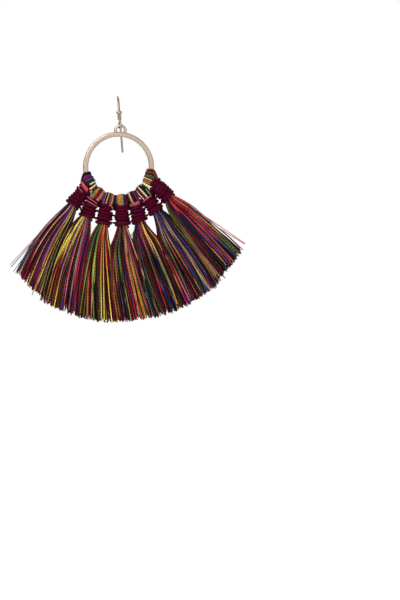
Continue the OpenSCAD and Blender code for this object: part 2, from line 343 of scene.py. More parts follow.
# How much further the windings reach than the solid necks, up and down, and to the sides
WOUND_ABOVE = [2.6, 0.5, 0.3, 0.25, 0.3, 0.5, 1.7]
WOUND_BELOW = 0.6
WOUND_WIDER = 0.25
WOUND_FOOT = 0.15
WOUND_UNEVEN = 0.27
WOUND_R = TURN_R * 1.1

# The short cords between neighbouring necks: how far each lies below the necks' tops, and
# how far back. They reach across each neck, and their middles rise and stand out a little
KNOTS = [
    (0.15, -1.0), (-0.5, -0.75), (0.85, -0.55), (-1.1, -0.4), (0.5, 0.8), (-0.3, 0.95), (1.2, 0.5),
]
KNOT_DROP = 0.35
KNOT_REACH = 1.3
KNOT_RISE = 0.15
KNOT_BULGE = 0.2
KNOT_R = 0.44
KNOT_POINTS = 15
LINK_POINTS = 160

# Seeds of the random draws. Each tassel adds its number, or its number of steps
STRAND_SEED = 100
WINDING_SEED = 40
FRINGE_SEED = 11
FOLD_SEED = 301
SEED_STEP = 20
LOOSE_SEED = 7

# Places on the earring


def turned(angle):
    """The way down, turned to the right by an angle."""
    a = math.radians(angle)
    return np.array([math.sin(a), 0.0, -math.cos(a)])


def square_to(angle):
    """The way to the right, square to turned(angle)."""
    a = math.radians(angle)
    return np.array([math.cos(a), 0.0, math.sin(a)])


BACK = np.array([0.0, 1.0, 0.0])
LEG_TOP = np.array([0.0, -ARCH_R, 0.0])
PIVOT = LEG_TOP + PIVOT_DROP * turned(HOOK_LEAN)
HOOP_CENTRE = PIVOT + (HOOP_R + BAIL_RISE) * turned(-BAIL_OFFSET)


def place(r, angle):
    """A point by its distance from the hoop's centre and its angle."""
    return HOOP_CENTRE + r * turned(angle)


def neck_down(i):
    return turned(TASSELS[i]["tilt"])


def neck_across(i):
    return square_to(TASSELS[i]["tilt"])


def neck_point(i, down, across):
    """A point by how far it is past the neck's lower end, and across the neck."""
    return place(NECK_END_R, TASSELS[i]["neck_angle"]) + down * neck_down(i) + across * neck_across(i)


def neck_r(share):
    """A neck's radius over its cord, from its lower end at 0 to its top at 1."""
    return (NECK_END_D + share * (NECK_TOP_D - NECK_END_D)) / 2


def core_r(share):
    """The radius of the threads under the cord."""
    return neck_r(share) - 2 * TURN_R


def side_angle(i, side, r):
    """The angle of a tassel's left edge, at side -1, or its right edge, at side 1."""
    row = EDGES[i if side < 0 else i + 1]
    tassel = TASSELS[i]
    return np.interp(
        r,
        [FRINGE_START_R, row["meet_r"], tassel["end_r"]],
        [tassel["neck_angle"] + side * NECK_HALF_ANGLE, row["meet"], row["tip"]],
    )


def half_depth(r):
    """Half of the fringe's depth, from front to back."""
    at = [NECK_END_R, NECK_END_R + SWELL_REACH, *HALF_DEPTHS]
    shares = HALF_DEPTHS.values()
    return np.interp(r, at, [core_r(0), core_r(0) + SWELL, *(share * FRINGE_DEPTH for share in shares)])


def rounded(side, layer, roundness):
    """Draws the corners of a square section in, towards a disc."""
    return (
        side * math.sqrt(1 - roundness * layer * layer / 2),
        layer * math.sqrt(1 - roundness * side * side / 2),
    )


def dye(name):
    """A dye's linear colour."""
    srgb = [int(DYES[name][k:k + 2], 16) / 255 for k in (0, 2, 4)]
    linear = [v / 12.92 if v <= 0.04045 else ((v + 0.055) / 1.055) ** 2.4 for v in srgb]
    return np.array(linear + [1.0])


# Guide lines

DYE_PLACES = ["dye_start", "dye_middle", "dye_end", "dye_single", "dye_dark_and_shade", "dye_bright"]
SHARES = ["dark_and_shade_share", "single_share", "bright_share"]


class Guides:
    """Lines that threads follow, with the spread, colours and count of each line's threads."""

    def __init__(self):
        self.lines = []

    def add(self, points, across, aside, dyes, threads, thick=None, shares=(0.0, 0.0, 0.0)):
        """dyes are a line's own at its start, middle and end, then its single, dark and bright one."""
        n = len(points)
        line = dict(
            points=np.asarray(points, float) * MM,
            across=np.asarray(across, float) * MM,
            aside=np.asarray(aside, float) * MM,
            threads=np.full(n, threads, np.int32),
            thick=np.ones(n) if thick is None else np.asarray(thick, float),
        )
        for key, share in zip(SHARES, shares):
            line[key] = np.full(n, share)
        for key, name in zip(DYE_PLACES, dyes):
            line[key] = np.array([dye(name)] * n)
        self.lines.append(line)

    def mesh(self, name):
        """The lines as one mesh of edges, with their values as attributes of its points."""
        mesh = bpy.data.meshes.new(name)
        points = np.concatenate([line["points"] for line in self.lines])
        edges, start = [], 0
        for line in self.lines:
            count = len(line["points"])
            edges += [(start + k, start + k + 1) for k in range(count - 1)]
            start += count
        mesh.from_pydata(points.tolist(), edges, [])
        for key, kind, field in (
            ("across", "FLOAT_VECTOR", "vector"),
            ("aside", "FLOAT_VECTOR", "vector"),
            *((key, "FLOAT_COLOR", "color") for key in DYE_PLACES),
            ("threads", "INT", "value"),
            ("thick", "FLOAT", "value"),
            *((key, "FLOAT", "value") for key in SHARES),
        ):
            values = np.concatenate([line[key] for line in self.lines])
            layer = mesh.attributes.new(key, kind, "POINT")
            layer.data.foreach_set(field, values.ravel())
        return mesh


def strand_dyes(names, j, rng):
    """The dyes of a bunch's strand number j, or now and then ones of the strand's own."""
    dyes = names.split()
    drawn = [ANY_DYES[n] for n in rng.integers(len(ANY_DYES), size=4)]
    if rng.uniform() > IN_BUNCH:
        dyes = drawn
    elif j % 2:
        dyes[3] = drawn[3]
    dark = DARK_AND_SHADE_DYES[rng.integers(len(DARK_AND_SHADE_DYES))]
    bright = BRIGHT_DYES[rng.integers(len(BRIGHT_DYES))]
    return [*dyes, dark, bright]


def strand_guide(i, side, half, layer, dyes, threads, rng, guides):
    """The line of one strand, side from the tassel's left edge at -1 to its right edge at 1."""
    depth = layer["depth"] + rng.uniform(-LAYER_UNEVEN, LAYER_UNEVEN)
    points, across, aside, widths = [], [], [], []
    x, y = rounded(side, depth, NECK_ROUNDNESS)
    for down, inset in NECK_STARTS:
        radius = neck_r(0) - inset
        points.append(neck_point(i, down, x * radius) + BACK * y * radius)
        across.append(neck_across(i) * half * radius)
        aside.append(BACK * radius * layer["thick"])
        widths.append(PACKED_THIN)
    sway = rng.uniform(-1, 1) * layer["sway"]
    drift = rng.uniform(-1, 1) * layer["sway"]
    end = TASSELS[i]["end_r"] + TIP_PAST + rng.uniform(-TIP_UNEVEN, TIP_UNEVEN)
    if i == 0:
        end -= FIRST_EDGE_SHORT * max(0, -side)
    for r in (*STRAND_STATIONS, end):
        low, high = side_angle(i, -1, r), side_angle(i, 1, r)
        if i == LAST:
            high -= np.interp(r, *LAST_EDGE_IN)
        width = math.radians(high - low) * r + np.interp(r, *OVERLAP)
        x, y = rounded(side, depth, np.interp(r, *ROUNDNESS))
        down = np.interp(r, *WAY_DOWN)
        swing = (sway * math.sin(math.pi * down) + drift * down) * (1 - abs(side))
        angle = (low + high) / 2 + math.degrees((x * width / 2 + swing) / r)
        points.append(place(r, angle) + BACK * y * half_depth(r))
        across.append(square_to(angle) * half * width / 2 * layer["wide"])
        aside.append(BACK * half_depth(r) * layer["thick"])
        widths.append(np.interp(r, *THICKENING))
    shares = [layer[key] for key in ("dark", "single", "bright")]
    guides.add(points, across, aside, dyes, threads, widths, shares)


def fringe_guides(i):
    """Lines for a tassel's strands, layer by layer, from inside the neck to the tips."""
    guides = Guides()
    rng = np.random.default_rng(STRAND_SEED + i)
    for layer in LAYERS:
        bunches = BUNCHES[i] if layer["depth"] < 0 else BUNCHES[i][::-1]
        bunches = bunches[layer["shift"]:] + bunches[:layer["shift"]]
        total = sum(row[0] for row in bunches)
        strands = len(layer["threads"])
        reach = 0.0
        for share, names in bunches:
            half = share / total / strands
            dark = layer["dark"] * (EVEN_DARK if share >= EVEN_FROM else 1.0)
            for j, threads in enumerate(layer["threads"]):
                side = (reach + share * (j + 0.5) / strands) / total * 2 - 1
                dyes = strand_dyes(names, j, rng)
                strand_guide(i, side, half, {**layer, "dark": dark}, dyes, threads, rng, guides)
            reach += share
    return guides


def fold_guides(i):
    """Lines up from the neck, over the front of the band, round its inner edge and back down."""
    guides = Guides()
    low, high = EDGES[i]["fold"], EDGES[i + 1]["fold"]
    span = high - low - 2 * FOLD_INSET
    names = FOLDS[i].split()
    count = len(names)
    inner_r = HOOP_R - BAND_W
    mouth_r = neck_r(1) - MOUTH_INSET
    top = -TASSELS[i]["neck_len"]
    outer_r = HOOP_R + (END_FOLD_OUTSIDE if i in (0, LAST) else FOLD_OUTSIDE)
    for k, name in enumerate(names):
        share = (k + 0.5) / count
        angle = low + FOLD_INSET + share * span
        bulge = math.sin(math.pi * share)
        front = BAND_T / 2 + FOLD_IN_FRONT + FRONT_BULGE * bulge
        x, y = rounded(share * 2 - 1, MOUTH_DEPTH, 1.0)
        in_neck = neck_point(i, top + ANCHOR_DOWN, x * core_r(1))
        mouth = neck_point(i, top + MOUTH_DOWN, x * mouth_r)
        leaving = place(outer_r, angle) * (1 - BACK_TO_MOUTH) + mouth * BACK_TO_MOUTH
        neck_spread = neck_across(i) * core_r(1) / count * FOLD_OVERLAP
        mouth_spread = neck_across(i) * mouth_r / count * FOLD_OVERLAP
        spread = square_to(angle) * (math.radians(span) * HOOP_R / count / 2)
        out = turned(angle)
        points, across, aside = [], [], []
        for face in (-1, 1):
            over = BACK * face
            run = [
                (in_neck + over * y * core_r(1), neck_spread),
                (mouth + over * (y * mouth_r - MOUTH_PINCH), mouth_spread),
                (leaving + over * STANDING_OUT, spread),
                *((place(r, angle) + over * (front + rise), spread) for r, rise in CROSSINGS),
            ]
            stations = list(zip(run, FOLD_DEPTHS))
            for (point, wide), (deep, outward) in stations if face < 0 else stations[::-1]:
                points.append(point)
                across.append(wide)
                aside.append(over * deep + out * outward)
            if face < 0:
                points.append(place(inner_r - (FOLD_INSIDE + INSIDE_BULGE * bulge), angle))
                across.append(spread)
                aside.append(-out * INSIDE_DEPTH)
        dark = DARK_AND_SHADE_DYES[(k + i) % len(DARK_AND_SHADE_DYES)]
        dyes = [name] * 3 + [names[(k + 3) % count], dark, dark]
        shares = FOLD_LINE_SHARES if name in FOLD_LINES else FOLD_SHARES
        guides.add(points, across, aside, dyes, FOLD_THREADS, None, shares)
    return guides


def stray_guide(row, guides):
    """The line of a single thread that has left the fringe."""
    start, bend, end = (np.array(row[key]) for key in ("start", "bend", "end"))
    first, last = row["dyes"]
    points = [place(*at) for at in (start, (start + bend) / 2, bend, end)]
    still = [np.zeros(3)] * len(points)
    guides.add(points, still, still, [first, last, last, first, first, first], 1, STRAY_THICK)


def caught_guide(row, guides):
    """The line of loose threads that lie across the front of a neck's cord."""
    i = row["neck"]
    length = TASSELS[i]["neck_len"]
    points, across = [], []
    for height, side in row["path"]:
        angle = math.radians(side * CAUGHT_ROUND)
        radius = neck_r(min(height, 1.0)) + WOUND_WIDER + CAUGHT_OFF
        aside = radius * math.sin(angle)
        points.append(neck_point(i, -height * length, aside) - BACK * radius * math.cos(angle))
        across.append(neck_down(i) * CAUGHT_SPREAD * row["threads"])
    deep = [-BACK * CAUGHT_DEPTH] * len(points)
    guides.add(points, across, deep, [row["dye"]] * len(DYE_PLACES), row["threads"])


def cord_guides(*lines):
    """Lines for cords, all in the cord's own dye."""
    guides = Guides()
    for points in lines:
        still = np.zeros((len(points), 3))
        guides.add(points, still, still, ["wound"] * len(DYE_PLACES), 1)
    return guides


def helix(start, axis, side, radii, length, turns, steps=36, tuck=0.25, unevenness=0.0, seed=0):
    """Points of a wound line. radii are at its start and its end, and both ends tuck in."""
    rng = np.random.default_rng(seed)
    t = np.linspace(0, 1, int(turns * steps) + 1)

    def uneven(per_turn):
        n = turns * per_turn + 1
        return np.interp(t, np.linspace(0, 1, n), rng.uniform(-1, 1, n)) * unevenness

    swell = uneven(3)
    slip = uneven(2)
    tucked = 1 - tuck * (np.clip(1 - t * turns * 3, 0, 1) + np.clip(1 - (1 - t) * turns * 3, 0, 1))
    r = ((1 - t) * radii[0] + t * radii[1] + swell) * tucked
    a = 2 * math.pi * turns * t
    return (
        start
        + np.outer(t * length + slip, axis)
        + np.outer(r * np.cos(a), side)
        + np.outer(r * np.sin(a), np.cross(axis, side))
    )


def winding_guides(i):
    """The cord round a neck, from its lower end up over the fold."""
    wound = TASSELS[i]["neck_len"] + WOUND_ABOVE[i]
    foot_r = neck_r(0) - TURN_R + WOUND_WIDER + WOUND_FOOT
    points = helix(
        neck_point(i, WOUND_BELOW - TURN_R, 0), -neck_down(i), neck_across(i),
        (foot_r, neck_r(1) - TURN_R + WOUND_WIDER),
        wound + WOUND_BELOW - 2 * TURN_R, round(wound / CORD_PITCH),
        unevenness=WOUND_UNEVEN, seed=WINDING_SEED + i,
    )
    return cord_guides(points)


def knot_guides():
    """Short cords that cross from the top of one neck to the next, under the folds."""
    lines = []
    t = np.linspace(0, 1, KNOT_POINTS)[:, None]
    for i in range(LAST):
        for drop, back in KNOTS:
            first, last = (
                neck_point(n, drop - TASSELS[n]["neck_len"] + KNOT_DROP, reach) + BACK * back
                for n, reach in ((i, KNOT_REACH), (i + 1, -KNOT_REACH))
            )
            middle = (first + last) / 2
            to_centre = HOOP_CENTRE - middle
            rise = to_centre / np.linalg.norm(to_centre) * KNOT_RISE
            middle = middle + rise + BACK * back * KNOT_BULGE
            lines.append((1 - t) ** 2 * first + 2 * t * (1 - t) * middle + t**2 * last)
    return cord_guides(*lines)


def coil_guides():
    """The thin wire wound round the ear wire's front leg."""
    leg = turned(HOOK_LEAN)
    points = helix(
        LEG_TOP - leg * (COIL_TOP - COIL_WIRE_R), leg, square_to(HOOK_LEAN), (COIL_R, COIL_R),
        COIL_PITCH * COIL_TURNS, COIL_TURNS, tuck=0.0,
    )
    return cord_guides(points)


def link_guides(radius):
    """A cord on an arc about the hoop's centre, from the first neck to the last."""
    ends = []
    for i in (0, LAST):
        at = neck_point(i, radius - NECK_END_R, 0) - HOOP_CENTRE
        ends.append(math.degrees(math.atan2(at[0], -at[2])))
    return cord_guides([place(radius, a) for a in np.linspace(*ends, LINK_POINTS)])


# Nodes

# Share of a thread's length over which its first dye changes to the second, and the second
# to the third, and how far those places differ from thread to thread
FIRST_CHANGE = (0.30, 0.42)
SECOND_CHANGE = (0.62, 0.76)
CHANGE_UNEVEN = 0.14

# Half the length of a stretch in another dye, and how the threads differ in shade and thickness
STRETCHES = (0.2, 0.8)
SHADES = (0.56, 1.4)
THICKNESSES = (0.84, 1.12)

# Wandering grows with this power of the way along, and levels are mixed by the golden share
LOOSENING = 0.8
GOLDEN_SHARE = 0.618

# What is drawn at random for each thread, in the order of the seeds
DRAWS = [
    "column", "level", "wander", "dye", "shade", "cut", "thickness", "slant", "change",
    "stretch_place", "stretch", "crossing",
]


def shown(sockets, name):
    """The socket of that name that the node's settings leave in use."""
    return next(s for s in sockets if s.enabled and s.name == name)


class NodeMaker:
    """A node tree under construction, with short ways to add the usual nodes."""

    def __init__(self, tree):
        self.tree = tree

    def put(self, kind, links=(), out=0, **settings):
        """Adds a node, sets it up, and returns one of its outputs."""
        node = self.tree.nodes.new(kind)
        for key, value in settings.items():
            setattr(node, key, value)
        for key, value in dict(links).items():
            socket = node.inputs[key] if isinstance(key, int) else shown(node.inputs, key)
            if isinstance(value, bpy.types.NodeSocket):
                self.tree.links.new(value, socket)
            else:
                socket.default_value = value
        if isinstance(out, int):
            return [s for s in node.outputs if s.enabled][out]
        return shown(node.outputs, out)

    def math(self, operation, a, b=0.0):
        return self.put("ShaderNodeMath", {0: a, 1: b}, operation=operation)

    def plus(self, a, b):
        return self.math("ADD", a, b)

    def minus(self, a, b):
        return self.math("SUBTRACT", a, b)

    def times(self, a, b):
        return self.math("MULTIPLY", a, b)

    def vector_math(self, operation, a, b=(0.0, 0.0, 0.0)):
        return self.put("ShaderNodeVectorMath", {0: a, 1: b}, operation=operation)

    def scaled(self, vector, factor):
        return self.put("ShaderNodeVectorMath", {0: vector, "Scale": factor}, operation="SCALE")

    def blend(self, share, a, b):
        return self.put("ShaderNodeMix", {"Factor": share, "A": a, "B": b}, data_type="RGBA")

    def ranged(self, value, low, high, from_low=0.0, from_high=1.0):
        ends = {"From Min": from_low, "From Max": from_high, "To Min": low, "To Max": high}
        return self.put("ShaderNodeMapRange", {"Value": value, **ends})


# Geometry trees

SOCKET_KINDS = {float: "Float", int: "Int", type(None): "Material"}


class Growth(NodeMaker):
    """A Geometry Nodes tree that grows threads or cords along guide lines."""

    def __init__(self, name, **inputs):
        super().__init__(bpy.data.node_groups.new(name, "GeometryNodeTree"))
        face = self.tree.interface
        face.new_socket("Guides", in_out="INPUT", socket_type="NodeSocketGeometry")
        for label, value in inputs.items():
            kind = "NodeSocket" + SOCKET_KINDS[type(value)]
            item = face.new_socket(label.replace("_", " "), in_out="INPUT", socket_type=kind)
            if value is not None:
                item.default_value = value
        face.new_socket("Geometry", in_out="OUTPUT", socket_type="NodeSocketGeometry")
        self.inputs = self.tree.nodes.new("NodeGroupInput")
        self.output = self.tree.nodes.new("NodeGroupOutput")

    def given(self, label):
        return self.inputs.outputs[label]

    def named(self, name, kind="FLOAT"):
        return self.put("GeometryNodeInputNamedAttribute", {"Name": name}, data_type=kind)

    def on_domain(self, value, domain, kind="FLOAT"):
        return self.put("GeometryNodeFieldOnDomain", {"Value": value}, domain=domain, data_type=kind)

    def each_curve(self, name, kind="FLOAT"):
        """A guide line's own value, the same all along each thread."""
        return self.on_domain(self.named(name, kind), "CURVE", kind)

    def along(self, out):
        """The way along a thread: its Length so far, or its Factor from 0 to 1."""
        return self.put("GeometryNodeSplineParameter", out=out)

    def draw(self, name, low=0.0, high=1.0):
        """A random number, the same all along each thread."""
        links = {
            "Min": low,
            "Max": high,
            "ID": self.put("GeometryNodeInputIndex"),
            "Seed": self.plus(self.given("Seed"), 1.0 + DRAWS.index(name)),
        }
        number = self.put("FunctionNodeRandomValue", links, data_type="FLOAT")
        return self.on_domain(number, "CURVE")

    def moved(self, curves, offset):
        return self.put("GeometryNodeSetPosition", {"Geometry": curves, "Offset": offset})

    def copied(self, curves, amount):
        """Copies of each curve, and the number of each copy."""
        links = {"Geometry": curves, "Amount": amount}
        copies = self.put("GeometryNodeDuplicateElements", links, domain="SPLINE")
        return copies, copies.node.outputs["Duplicate Index"]

    def store(self, geometry, name, value, kind="FLOAT", domain="POINT"):
        links = {"Geometry": geometry, "Name": name, "Value": value}
        return self.put("GeometryNodeStoreNamedAttribute", links, data_type=kind, domain=domain)

    def tubes(self, curves, radius, sides):
        """Round tubes along curves, with a map of (round, along in mm) for their material."""
        curves = self.store(curves, "along", self.math("DIVIDE", self.along("Length"), MM))
        profile = self.put("GeometryNodeCurvePrimitiveCircle", {"Resolution": sides, "Radius": 1.0})
        profile = self.store(profile, "round", self.along("Factor"))
        mesh = self.put(
            "GeometryNodeCurveToMesh",
            {"Curve": curves, "Profile Curve": profile, "Scale": radius, "Fill Caps": True},
        )
        # The last face round a tube ends at 1 in the map, and not at 0 where the first begins
        here = self.named("round")
        at_start = self.math("LESS_THAN", here, 0.01)
        on_seam = self.times(at_start, self.math("GREATER_THAN", self.on_domain(here, "FACE"), 0.2))
        pair = self.put("ShaderNodeCombineXYZ", {0: self.plus(here, on_seam), 1: self.named("along")})
        mesh = self.store(mesh, "UVMap", pair, kind="FLOAT2", domain="CORNER")
        mesh = self.put("GeometryNodeSetShadeSmooth", {"Geometry": mesh})
        for name in ["round", "along", "across", "aside", "threads", "thick"] + SHARES + DYE_PLACES:
            mesh = self.put("GeometryNodeRemoveAttribute", {"Geometry": mesh, "Name": name})
        return mesh

    def finish(self, mesh):
        mesh = self.put("GeometryNodeRealizeInstances", {"Geometry": mesh})
        links = {"Geometry": mesh, "Material": self.given("Material")}
        mesh = self.put("GeometryNodeSetMaterial", links)
        self.tree.links.new(mesh, self.output.inputs[0])
        return self.tree


def thread_offset(t, copy, amount, factor):
    """How far each thread lies from its guide line: its place in the strand, and its wandering."""
    # Evenly spaced places over the width, and well mixed places over the depth
    column = t.math("DIVIDE", t.plus(copy, t.draw("column")), amount)
    level = t.math("FRACT", t.plus(t.times(copy, GOLDEN_SHARE), t.draw("level")))
    across = t.named("across", "FLOAT_VECTOR")
    in_width = t.scaled(across, t.minus(t.times(column, 2.0), 1.0))
    in_depth = t.scaled(t.named("aside", "FLOAT_VECTOR"), t.minus(t.times(level, 2.0), 1.0))

    # Each thread wanders more the further it is from where it is held
    reach = t.math("DIVIDE", t.along("Length"), t.given("Wander Length"))
    noise_links = {
        "Vector": t.put("ShaderNodeCombineXYZ", {2: reach}),
        "W": t.draw("wander", 0.0, 90.0),
        "Scale": 1.0,
        "Detail": 1.0,
    }
    noise = t.put("ShaderNodeTexNoise", noise_links, out="Color", noise_dimensions="4D")
    drift = t.vector_math("SUBTRACT", noise, (0.5, 0.5, 0.5))
    loosening = t.math("POWER", factor, LOOSENING)
    drift = t.scaled(drift, t.times(t.times(t.given("Wander"), 2.0), loosening))

    # Some cross over their neighbours on the way down
    sideways = t.vector_math("NORMALIZE", across)
    slant = t.times(t.draw("slant", -1.0, 1.0), t.draw("crossing"))
    crossing = t.times(t.times(t.given("Crossing"), slant), factor)
    drift = t.vector_math("ADD", drift, t.scaled(sideways, crossing))
    return t.vector_math("ADD", t.vector_math("ADD", in_width, in_depth), drift)


def thread_colour(t, factor):
    """Each thread's dyes. They change at places of the thread's own.

    Some threads are dark from end to end, in the fringe's inner layers as painted shade between the
    strands, and some show another dye over a part of their length."""

    def fade(low, high):
        position = t.plus(factor, t.draw("change", -CHANGE_UNEVEN, CHANGE_UNEVEN))
        return t.ranged(position, 0.0, 1.0, low, high)

    def dyed(name):
        return t.each_curve(name, "FLOAT_COLOR")

    colour = t.blend(fade(*FIRST_CHANGE), dyed("dye_start"), dyed("dye_middle"))
    colour = t.blend(fade(*SECOND_CHANGE), colour, dyed("dye_end"))
    pick = t.draw("dye")
    singles = t.each_curve("single_share")
    brights = t.plus(singles, t.each_curve("bright_share"))
    is_single = t.math("LESS_THAN", pick, singles)
    is_bright = t.times(t.math("LESS_THAN", pick, brights), t.minus(1.0, is_single))
    # Threads dark from end to end: partly dark dyes, partly painted shade between the strands
    is_dark_and_shade = t.math("GREATER_THAN", pick, t.minus(1.0, t.each_curve("dark_and_shade_share")))
    from_middle = t.math("ABSOLUTE", t.minus(factor, t.draw("stretch_place")))
    shows = t.math("LESS_THAN", from_middle, t.draw("stretch", *STRETCHES))
    colour = t.blend(t.times(is_single, shows), colour, dyed("dye_single"))
    colour = t.blend(t.times(is_bright, shows), colour, dyed("dye_bright"))
    colour = t.blend(is_dark_and_shade, colour, dyed("dye_dark_and_shade"))
    return t.scaled(colour, t.draw("shade", *SHADES))


def thread_tree():
    """Many threads along each guide line, side by side over its width and its depth."""
    t = Growth(
        "threads_along_guides",
        Thread_Radius=THREAD_D / 2 * MM,
        Wander=0.0004,
        Wander_Length=0.011,
        Uneven_Ends=0.03,
        Crossing=0.0,
        Stations=14,
        Sides=5,
        Seed=1,
        Material=None,
    )
    curves = t.put("GeometryNodeMeshToCurve", {"Mesh": t.given("Guides")})
    curves = t.put("GeometryNodeCurveSplineType", {"Curve": curves}, spline_type="CATMULL_ROM")
    amount = t.each_curve("threads", "INT")
    curves, copy = t.copied(curves, amount)
    factor = t.along("Factor")
    curves = t.moved(curves, thread_offset(t, copy, amount, factor))
    curves = t.store(curves, "dye", thread_colour(t, factor), "FLOAT_COLOR")
    stations = {"Curve": curves, "Count": t.given("Stations")}
    curves = t.put("GeometryNodeResampleCurve", stations, mode="COUNT")
    cut = t.minus(1.0, t.times(t.draw("cut"), t.given("Uneven Ends")))
    curves = t.put("GeometryNodeTrimCurve", {"Curve": curves, "End": cut}, mode="FACTOR")
    radius = t.times(t.given("Thread Radius"), t.named("thick"))
    radius = t.times(radius, t.draw("thickness", *THICKNESSES))
    return t.finish(t.tubes(curves, radius, t.given("Sides")))


def cord_tree():
    """A cord of twisted plies along each guide line."""
    t = Growth(
        "twisted_cord",
        Cord_Radius=0.0004,
        Plies=3,
        Ply_Ring=0.46,
        Ply_Radius=0.56,
        Lay=0.0026,
        Sides=6,
        Material=None,
    )
    curves = t.put("GeometryNodeMeshToCurve", {"Mesh": t.given("Guides")})
    curves = t.store(curves, "lay", t.math("DIVIDE", t.along("Length"), t.given("Lay")))
    curves, ply = t.copied(curves, t.given("Plies"))
    phase = t.math("DIVIDE", ply, t.given("Plies"))
    angle = t.times(t.plus(phase, t.named("lay")), 2 * math.pi)
    normal = t.put("GeometryNodeInputNormal")
    third = t.vector_math("CROSS_PRODUCT", t.put("GeometryNodeInputTangent"), normal)
    on_normal = t.scaled(normal, t.math("COSINE", angle))
    on_third = t.scaled(third, t.math("SINE", angle))
    ring = t.times(t.given("Cord Radius"), t.given("Ply Ring"))
    curves = t.moved(curves, t.scaled(t.vector_math("ADD", on_normal, on_third), ring))
    radius = t.times(t.given("Cord Radius"), t.given("Ply Radius"))
    return t.finish(t.tubes(curves, radius, t.given("Sides")))


def in_scene(name, data):
    """An object in the scene, made from its mesh, camera or light."""
    thing = bpy.data.objects.new(name, data)
    bpy.context.scene.collection.objects.link(thing)
    return thing


def grown(name, tree, guides, **values):
    """Grows a tree along guide lines, with values for its inputs, as a plain mesh object."""
    source = in_scene(name + "_guides", guides.mesh(name + "_guides"))
    modifier = source.modifiers.new("grow", "NODES")
    modifier.node_group = tree
    for label, value in values.items():
        modifier[tree.interface.items_tree[label.replace("_", " ")].identifier] = value
    depsgraph = bpy.context.evaluated_depsgraph_get()
    mesh = bpy.data.meshes.new_from_object(
        source.evaluated_get(depsgraph), preserve_all_data_layers=True, depsgraph=depsgraph
    )
    source.modifiers.remove(modifier)
    bpy.data.objects.remove(source)
    mesh.name = name
    return in_scene(name, mesh)


# Materials

# How closely patterns repeat: shades of the threads, patches on the metal, grain of the floor.
# Then how light that grain is
SHADE_SCALE = 260.0
PATCH_SCALE = 130.0
GRAIN_SCALE = 60.0
GRAIN_SHADES = (0.985, 1.0)

# Most of a noise's values lie in this range
NOISE_RANGE = (0.3, 0.7)

# A twisted thread: the painted highlight on its ridges, how its fibres are stretched round it
# and along it, how fine they are, their shades, the shades over the object, and its bump
RIDGE_HIGHLIGHT = 1.2
FIBRES_ROUND = 3.0
FIBRES_ALONG = 0.5
FIBRE_SCALE = 4.0
FIBRE_DETAIL = 3.0
FIBRE_SHADES = (0.8, 1.25)
CLOUD_SHADES = (0.72, 1.25)
CLOUD_RANGE = (0.25, 0.75)
TWIST_BUMP = 0.8
FIBRE_BUMP = 0.4

# How finely the metal is brushed, out from its centre and round it, how deep in metres, and
# how the brushing and the patches change its shade and roughness. Then its colours
BRUSHED_FINE = 2600.0
BRUSHED_ROUND = 5.0
BRUSHED_DEPTH = 0.000004
BRUSHED_BUMP = 0.05
BRUSHED_SHADES = (0.98, 1.02)
BRUSHED_ROUGH = 0.01
PATCHES_ROUGH = (-0.03, 0.04)
BROWN_SHARE = 0.5
BROWN_RANGE = (0.45, 0.7)
ROSE_GOLD = (0.56, 0.445, 0.352, 1.0)
WIRE_GOLD = (0.50, 0.395, 0.31, 1.0)
# Grey of the painted shade on the ear wire's tail and on the top of its arch
SHADE_GREY = (0.36, 0.35, 0.34, 1.0)
BROWNER = (0.86, 0.78, 0.70)

# Heights in millimetres. Grey is painted on the metal as painted shade: on the top of the
# ear wire's arch, and on the wire's tail below its given height. The hoop gets none, so its
# given height lies below the hoop
SHADED_TOP_Z = (-0.6, 0.2)
SHADE_FADE = 1.5
WIRE_SHADED_BELOW_Z = -12
HOOP_SHADED_BELOW_Z = -60
WIRE_BRUSH_CENTRE = (0, 0, -4)


class Finish(NodeMaker):
    """A material under construction. It starts from the shader's plain values."""

    def __init__(self, name, **sockets):
        self.material = bpy.data.materials.new(name)
        self.material.use_nodes = True
        super().__init__(self.material.node_tree)
        self.shader = self.tree.nodes["Principled BSDF"]
        for label, value in sockets.items():
            self.shader.inputs[label.replace("_", " ")].default_value = value

    def here(self):
        return self.put("ShaderNodeTexCoord", out="Object")

    def noise(self, vector, scale, detail=2.0):
        links = {"Vector": vector, "Scale": scale, "Detail": detail}
        return self.put("ShaderNodeTexNoise", links, out=0)

    def plain(self, colour):
        source = self.put("ShaderNodeRGB")
        source.default_value = colour
        return source

    def bump(self, strength, distance, height):
        links = {"Strength": strength, "Distance": distance, "Height": height}
        return self.put("ShaderNodeBump", links)

    def set(self, label, value):
        self.tree.links.new(value, self.shader.inputs[label])


